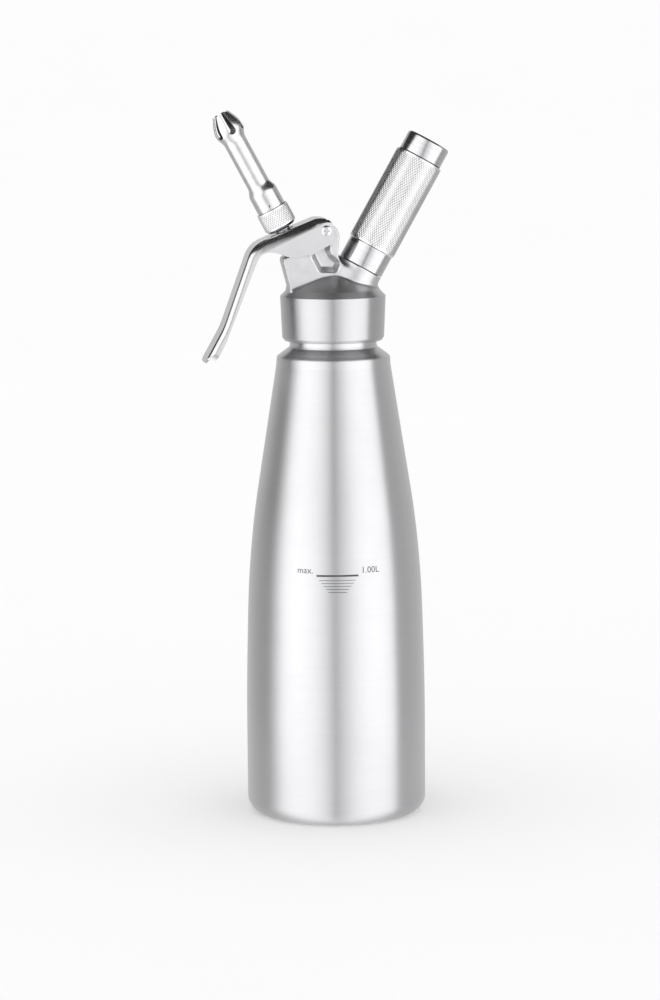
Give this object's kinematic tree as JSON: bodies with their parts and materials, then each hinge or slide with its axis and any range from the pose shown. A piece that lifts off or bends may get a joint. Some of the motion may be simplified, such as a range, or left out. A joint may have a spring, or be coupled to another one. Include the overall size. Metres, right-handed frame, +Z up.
{
  "type": "whipped cream dispenser",
  "caption": "Steel pressure bottle with a screwed lever head, a leaning toothed nozzle and a leaning knurled gas charger holder.",
  "frame": {"origin": "middle of the foot ring, on the bottle's axis, in the plane that the bottle stands on", "axes": "+Z up the bottle's axis; lever and nozzle lean towards -X, charger holder towards +X, both in the plane Y = 0"},
  "size_m": [0.1373, 0.1, 0.3926],
  "materials": {
    "bottle_steel": "satin, brushed round the axis",
    "turned_steel": "turned and lightly polished",
    "cast_steel": "satin cast and blasted",
    "lever_steel": "polished sheet",
    "polished_steel": "polished",
    "spring_steel": "drawn wire",
    "charger_steel": "drawn steel",
    "silicone": "matt silicone",
    "seal_rubber": "matt rubber",
    "nylon": "natural nylon"
  },
  "bodies": {
    "bottle": {"bottle_shell": "bottle_steel", "neck_ring": "turned_steel"},
    "gasket": {"head_gasket": "silicone"},
    "head": {"head_casting": "cast_steel", "valve_guide": "turned_steel", "valve_spring": "spring_steel", "pivot_screw": "turned_steel", "pivot_nut": "turned_steel", "pivot_washers": "nylon", "piercing_pin": "spring_steel", "charger_seal": "seal_rubber", "check_disc": "seal_rubber", "inlet_nut": "turned_steel"},
    "lever": {"lever": "lever_steel"},
    "valve": {"valve_stem": "turned_steel", "valve_seal": "seal_rubber", "stem_o_ring": "seal_rubber", "decorator_adapter": "turned_steel"},
    "nozzle_washer": {"nozzle_gasket": "seal_rubber"},
    "nozzle": {"nozzle": "polished_steel"},
    "charger": {"gas_charger": "charger_steel"},
    "holder": {"charger_holder": "turned_steel"}
  },
  "joints": [
    {"name": "head_lift", "type": "slide", "parent": "bottle", "child": "gasket", "axis": [0, 0, 1], "range_m": [0, 0.02]},
    {"name": "head_turn", "type": "hinge", "parent": "gasket", "child": "head", "pos_m": [0, 0, 0.2755], "axis": [0, 0, 1], "range_deg": [0, 1800]},
    {"name": "lever_press", "type": "hinge", "parent": "head", "child": "lever", "pos_m": [-0.0048, 0, 0.3265], "axis": [0, -1, 0], "range_deg": [0, 10], "stiffness_Nm_per_rad": 5, "springref_deg": -8.59},
    {"name": "valve_travel", "type": "slide", "parent": "head", "child": "valve", "axis": [0.471, 0, -0.8821], "range_m": [0, 0.003], "deforming": ["valve_spring"]},
    {"name": "nozzle_lift", "type": "slide", "parent": "valve", "child": "nozzle_washer", "axis": [-0.471, 0, 0.8821], "range_m": [0, 0.0075]},
    {"name": "nozzle_turn", "type": "hinge", "parent": "nozzle_washer", "child": "nozzle", "pos_m": [0, 0, 0.2755], "axis": [-0.471, 0, 0.8821], "range_deg": [0, 1800]},
    {"name": "charger_lift", "type": "slide", "parent": "head", "child": "charger", "axis": [0.4894, 0, 0.8721], "range_m": [0, 0.012]},
    {"name": "holder_turn", "type": "hinge", "parent": "charger", "child": "holder", "pos_m": [-0.0011, 0, 0.2761], "axis": [0.4894, 0, 0.8721], "range_deg": [0, 2160]}
  ],
  "couplings": [
    {"joint": "head_lift", "follows": "head_turn", "m_per_rad": 0.00063662},
    {"joint": "valve_travel", "follows": "lever_press", "m_per_rad": 0.017},
    {"joint": "nozzle_lift", "follows": "nozzle_turn", "m_per_rad": 0.00023873},
    {"joint": "charger_lift", "follows": "holder_turn", "m_per_rad": 0.00031831}
  ]
}
